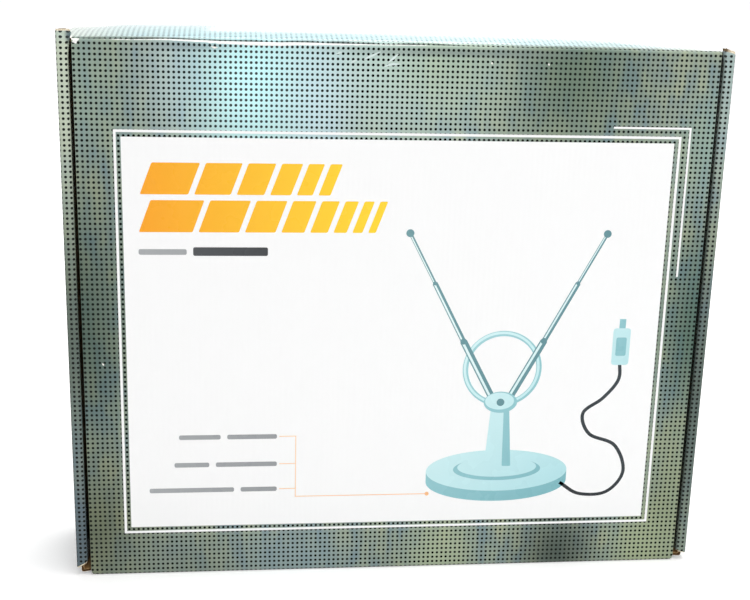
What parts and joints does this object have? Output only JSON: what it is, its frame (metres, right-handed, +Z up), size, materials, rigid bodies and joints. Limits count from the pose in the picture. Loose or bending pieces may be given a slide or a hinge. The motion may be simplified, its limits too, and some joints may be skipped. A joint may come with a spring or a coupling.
{
  "type": "printed corrugated mailer box",
  "caption": "Flat corrugated carton with rolled double side walls and a hinged lid whose front flap and ears tuck into the front wall, printed outside with a perforated-metal pattern.",
  "frame": {"origin": "on the floor, below the middle of the box as it stands on its front flap", "axes": "+Z up towards the hinge fold, +X along the hinge fold, -Y out of the lid's face, +Y out of the base panel"},
  "size_m": [0.39, 0.07, 0.33],
  "materials": {
    "tray_board": "coated and printed outside, plain brown inside",
    "lid_board": "coated and printed outside, plain brown inside"
  },
  "bodies": {
    "tray": {"tray": "tray_board"},
    "lid": {"lid": "lid_board"}
  },
  "joints": [
    {"name": "lid_hinge", "type": "hinge", "parent": "tray", "child": "lid", "pos_m": [0, -0.034, 0.329], "axis": [-1, 0, 0], "range_deg": [0, 180]}
  ]
}
